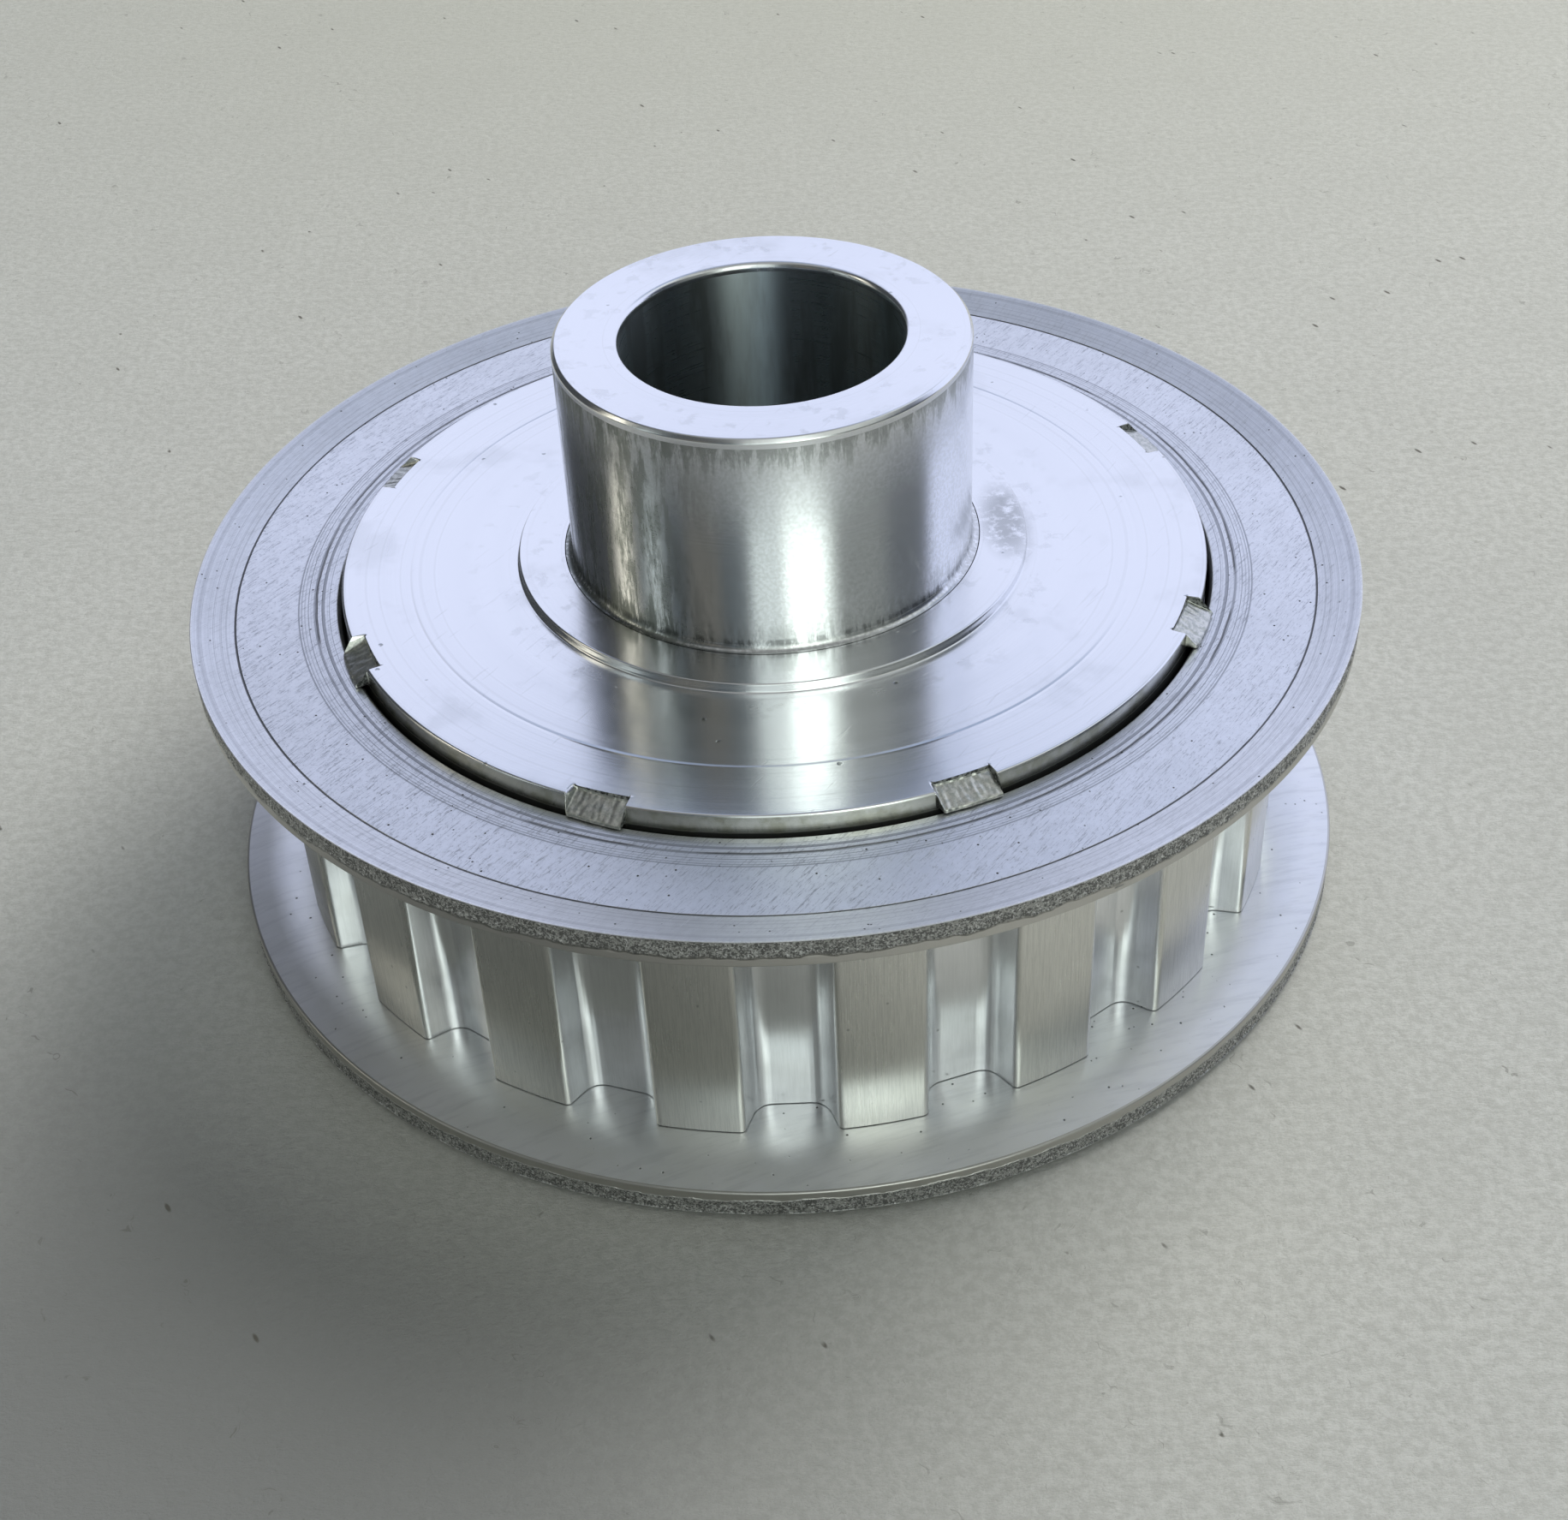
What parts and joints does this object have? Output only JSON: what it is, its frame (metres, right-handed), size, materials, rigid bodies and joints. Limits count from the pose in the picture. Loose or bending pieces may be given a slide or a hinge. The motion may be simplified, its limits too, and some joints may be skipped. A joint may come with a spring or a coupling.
{
  "type": "timing belt pulley",
  "caption": "Flanged toothed belt pulley with trapezoidal grooves, two staked sheet flanges and a bored journal hub on one side.",
  "frame": {"origin": "on the bore axis, in the plane of the rear face, which the pulley stands on", "axes": "+Z along the bore axis, from the rear face towards the hub's open end; X and Y are square to it, and the eight stakes lie 22.5 degrees either side of them"},
  "size_m": [0.064, 0.064, 0.0325],
  "materials": {
    "turned_aluminium": "turned, with fine tool lines; teeth satin and handled",
    "flange_sheet": "dull zinc-plated sheet with a sheared edge"
  },
  "bodies": {
    "root": {"pulley_body": "turned_aluminium", "hub_side_flange": "flange_sheet", "rear_flange": "flange_sheet"}
  },
  "joints": []
}
